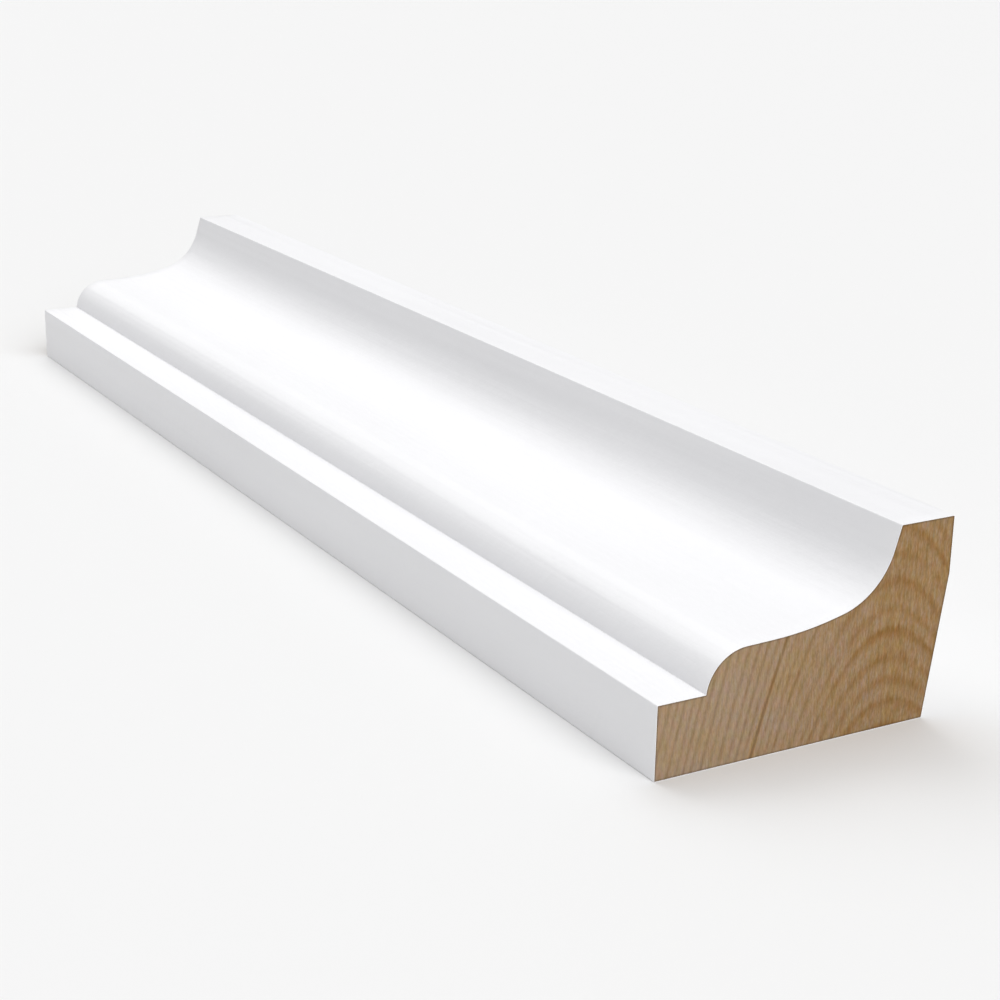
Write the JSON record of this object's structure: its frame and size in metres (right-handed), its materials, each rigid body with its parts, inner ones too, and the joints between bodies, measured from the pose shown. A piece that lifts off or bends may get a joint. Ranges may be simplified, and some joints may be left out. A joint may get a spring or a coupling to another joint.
{
  "type": "brick moulding length",
  "caption": "Straight milled length of wood trim: flat back, thin square edge, rounded bead, long cove and a thick splayed outer edge, with square-cut ends.",
  "frame": {"origin": "on the flat back, at the middle of the length and of the overall width", "axes": "+X along the length, -Y towards the thin square edge, +Y towards the thick splayed edge, +Z out of the back through the moulded face"},
  "size_m": [0.268, 0.0508, 0.0313],
  "materials": {
    "primed_wood": "smooth satin white primer on planed softwood, with bare end grain on the cut ends"
  },
  "bodies": {
    "root": {"moulding_length": "primed_wood"}
  },
  "joints": []
}
